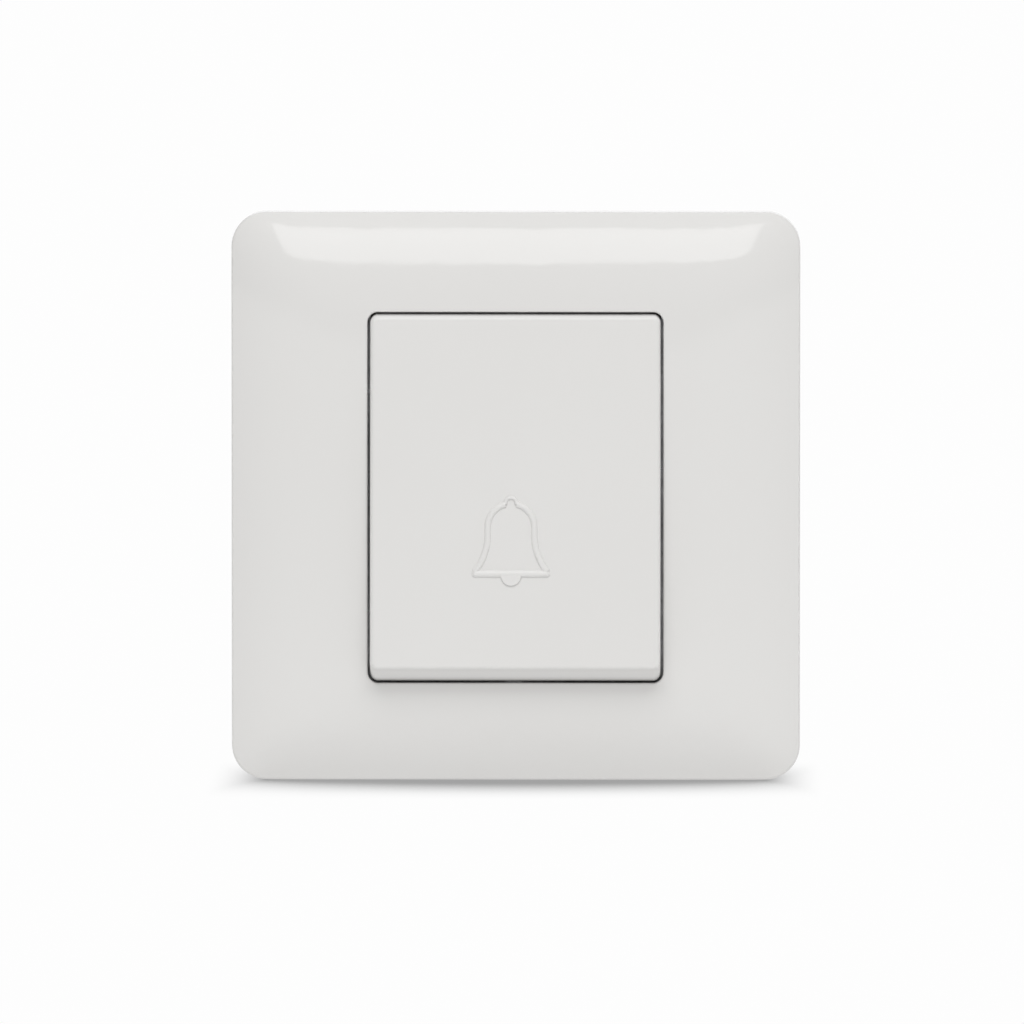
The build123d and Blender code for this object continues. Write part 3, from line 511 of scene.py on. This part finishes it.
def screw_ring(side, y, radius, thread):
    """Ring of points round a claw screw, where a right-handed thread cuts into the shank."""
    ring = []
    for k in range(SCREW_SIDES):
        turn = k / SCREW_SIDES
        ridge = abs(2 * ((y / SCREW_PITCH + turn) % 1.0) - 1)
        cut = (SCREW_R - SCREW_CORE_R) * thread * min(1.0, SCREW_ROOT * (1 - ridge))
        r = min(radius, SCREW_R - cut) if thread else radius
        angle = 2 * math.pi * turn
        ring.append(Vector((side * SCREW_X + r * math.cos(angle), y, r * math.sin(angle))) * MM)
    return ring


def screws():
    """Two claw screws, with a thread of rounded ridges on each shank."""
    shape = bmesh.new()
    for side in (-1, 1):
        ring_tube(shape, [screw_ring(side, *row) for row in screw_rows()])
    return finished("claw_screw_pair", shape)


def slotted(made):
    """Driver slots across the two heads."""
    cutter = bmesh.new()
    length = 2 * SCREW_SLOT_REACH * SCREW_HEAD_R
    for side in (-1, 1):
        size = Matrix.Diagonal((length * MM, 2 * SCREW_SLOT_DEPTH * MM, SCREW_SLOT_W * MM, 1.0))
        place = Matrix.Translation((side * SCREW_X * MM, SCREW_HEAD_FRONT * MM, 0.0))
        bmesh.ops.create_cube(cutter, size=1.0, matrix=place @ size)
    tool = linked("slot_tool", finished("slot_tool", cutter))
    cut = made.modifiers.new("slots", "BOOLEAN")
    cut.operation = "DIFFERENCE"
    cut.solver = "EXACT"
    cut.object = tool
    shaped = made.evaluated_get(bpy.context.evaluated_depsgraph_get())
    mesh = bpy.data.meshes.new_from_object(shaped)
    made.modifiers.clear()
    made.data = mesh
    bpy.data.objects.remove(tool)
    mesh.set_sharp_from_angle(angle=math.radians(SCREW_SHARP_ANGLE))


coil = piece("return_coil", spring(), "spring_steel", "base", "return_spring")
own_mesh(coil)
claw_screws = piece("claw_screw_pair", screws(), "screw_steel", "base", "claw_screws")
slotted(claw_screws)


def sheet_shade(g, place):
    """Tone of the sheet, 1 where it is open to the light and less in the shadow under the plate."""
    open_sky = g.add("ShaderNodeAmbientOcclusion", Distance=SHADOW_REACH * MM).outputs["AO"]
    fade = g.add("ShaderNodeMapRange", Value=open_sky, From_Min=SHADOW_START)
    fade.interpolation_type = "SMOOTHSTEP"
    across = g.math("ABSOLUTE", place["X"])
    within = g.span(across, 1.0, 0.0, SHADOW_SIDE[0] * MM, SHADOW_SIDE[1] * MM)
    beside = g.math("SUBTRACT", 1.0, g.math("MULTIPLY", within, within))
    return g.math("MAXIMUM", g.math("MAXIMUM", SHADOW_CONTACT, beside), fade.outputs["Result"])


def studio_floor():
    """Plain white sheet under the plate. Seen or mirrored it is white and keeps the shadow."""
    mesh = bpy.data.meshes.new("floor")
    z = -PLATE_HALF * MM
    signs = ((-1, -1), (1, -1), (1, 1), (-1, 1))
    mesh.from_pydata([(sx * SHEET_HALF, sy * SHEET_HALF, z) for sx, sy in signs], [], [(0, 1, 2, 3)])
    floor = linked("floor", mesh)
    material = bpy.data.materials.new("floor_white")
    material.use_nodes = True
    g = Graph(material.node_tree)
    g.tree.nodes.clear()
    place = g.axes(g.add("ShaderNodeTexCoord").outputs["Object"])
    tone = g.math("MULTIPLY", sheet_shade(g, place), SHEET_WHITE)
    seen = g.add("ShaderNodeEmission", Strength=tone).outputs[0]
    lit = g.span(g.math("ABSOLUTE", place["Y"]), SHEET_NEAR, SHEET_FAR, *SHEET_FADE)
    bounced = g.add("ShaderNodeEmission", Strength=lit).outputs[0]
    g.add("ShaderNodeOutputMaterial", Surface=g.either(g.math("MAXIMUM", *g.rays()), bounced, seen))
    mesh.materials.append(material)


def lamp(name, width, height, elevation, energy):
    """Rectangular soft lamp in front of the plate, aimed at its middle from an elevation in degrees."""
    data = bpy.data.lights.new(name, "AREA")
    data.shape = "RECTANGLE"
    data.size = width
    data.size_y = height
    data.energy = energy
    made = linked(name, data)
    tilt = math.radians(elevation)
    made.location = Vector((0.0, -math.cos(tilt), math.sin(tilt))) * LAMP_DISTANCE
    made.rotation_mode = "QUATERNION"
    made.rotation_quaternion = (-made.location).to_track_quat("-Z", "Y")
    return made


def studio_light():
    """The tent, a little dimmer to the left and plain white where it is seen, and the two lamps."""
    world = bpy.data.worlds.new("tent")
    bpy.context.scene.world = world
    world.use_nodes = True
    g = Graph(world.node_tree)
    g.tree.nodes.clear()
    along = g.axes(g.add("ShaderNodeTexCoord").outputs["Generated"])
    scattered = g.span(along["X"], TENT_LEFT, TENT_RIGHT, -1.0, 1.0)
    ahead = g.span(along["Y"], MIRRORED_FRONT, 1.0, *MIRRORED_FRONT_SPAN)
    beside = g.span(along["X"], MIRRORED_LEFT, 1.0, -1.0, 0.0)
    scatters, reflects, shows = [
        g.add("ShaderNodeBackground", Color=WHITE, Strength=strength).outputs[0]
        for strength in (scattered, g.math("MULTIPLY", ahead, beside), 1.0)
    ]
    from_camera, mirrored = g.rays()
    unseen = g.either(mirrored, scatters, reflects)
    g.add("ShaderNodeOutputWorld", Surface=g.either(from_camera, unseen, shows))

    lamp("softbox", SOFTBOX_WIDTH, SOFTBOX_HEIGHT, SOFTBOX_ELEVATION, SOFTBOX_ENERGY)
    diffused = lamp("diffused", DIFFUSED_WIDTH, DIFFUSED_HEIGHT, DIFFUSED_ELEVATION, DIFFUSED_ENERGY)
    diffused.visible_glossy = False


def camera():
    """Long lens from a little above, placed so that the plate's centre falls where the photograph has it."""
    data = bpy.data.cameras.new("camera")
    data.sensor_width = SENSOR_MM
    data.lens = SENSOR_MM * CAMERA_DISTANCE / (PIXELS / PIXELS_PER_MM * MM)
    data.clip_end = CAMERA_REACH
    eye = linked("camera", data)
    bpy.context.scene.camera = eye
    swing = Matrix.Rotation(math.radians(CAMERA_AZIMUTH), 3, "Z")
    dip = Matrix.Rotation(math.radians(-CAMERA_ELEVATION), 3, "X")
    turn = swing @ dip
    right = turn @ Vector((1.0, 0.0, 0.0))
    back = turn @ Vector((0.0, -1.0, 0.0))
    up = turn @ Vector((0.0, 0.0, 1.0))
    off_x = (PLATE_CENTRE_PX[0] - PIXELS / 2) / PIXELS_PER_MM * MM
    off_y = (PIXELS / 2 - PLATE_CENTRE_PX[1]) / PIXELS_PER_MM * MM
    aim = -off_x * right - off_y * up
    eye.location = aim + back * CAMERA_DISTANCE
    eye.rotation_mode = "QUATERNION"
    eye.rotation_quaternion = (-back).to_track_quat("-Z", "Y")


studio_floor()
studio_light()
camera()
bpy.context.scene.view_settings.view_transform = "Standard"
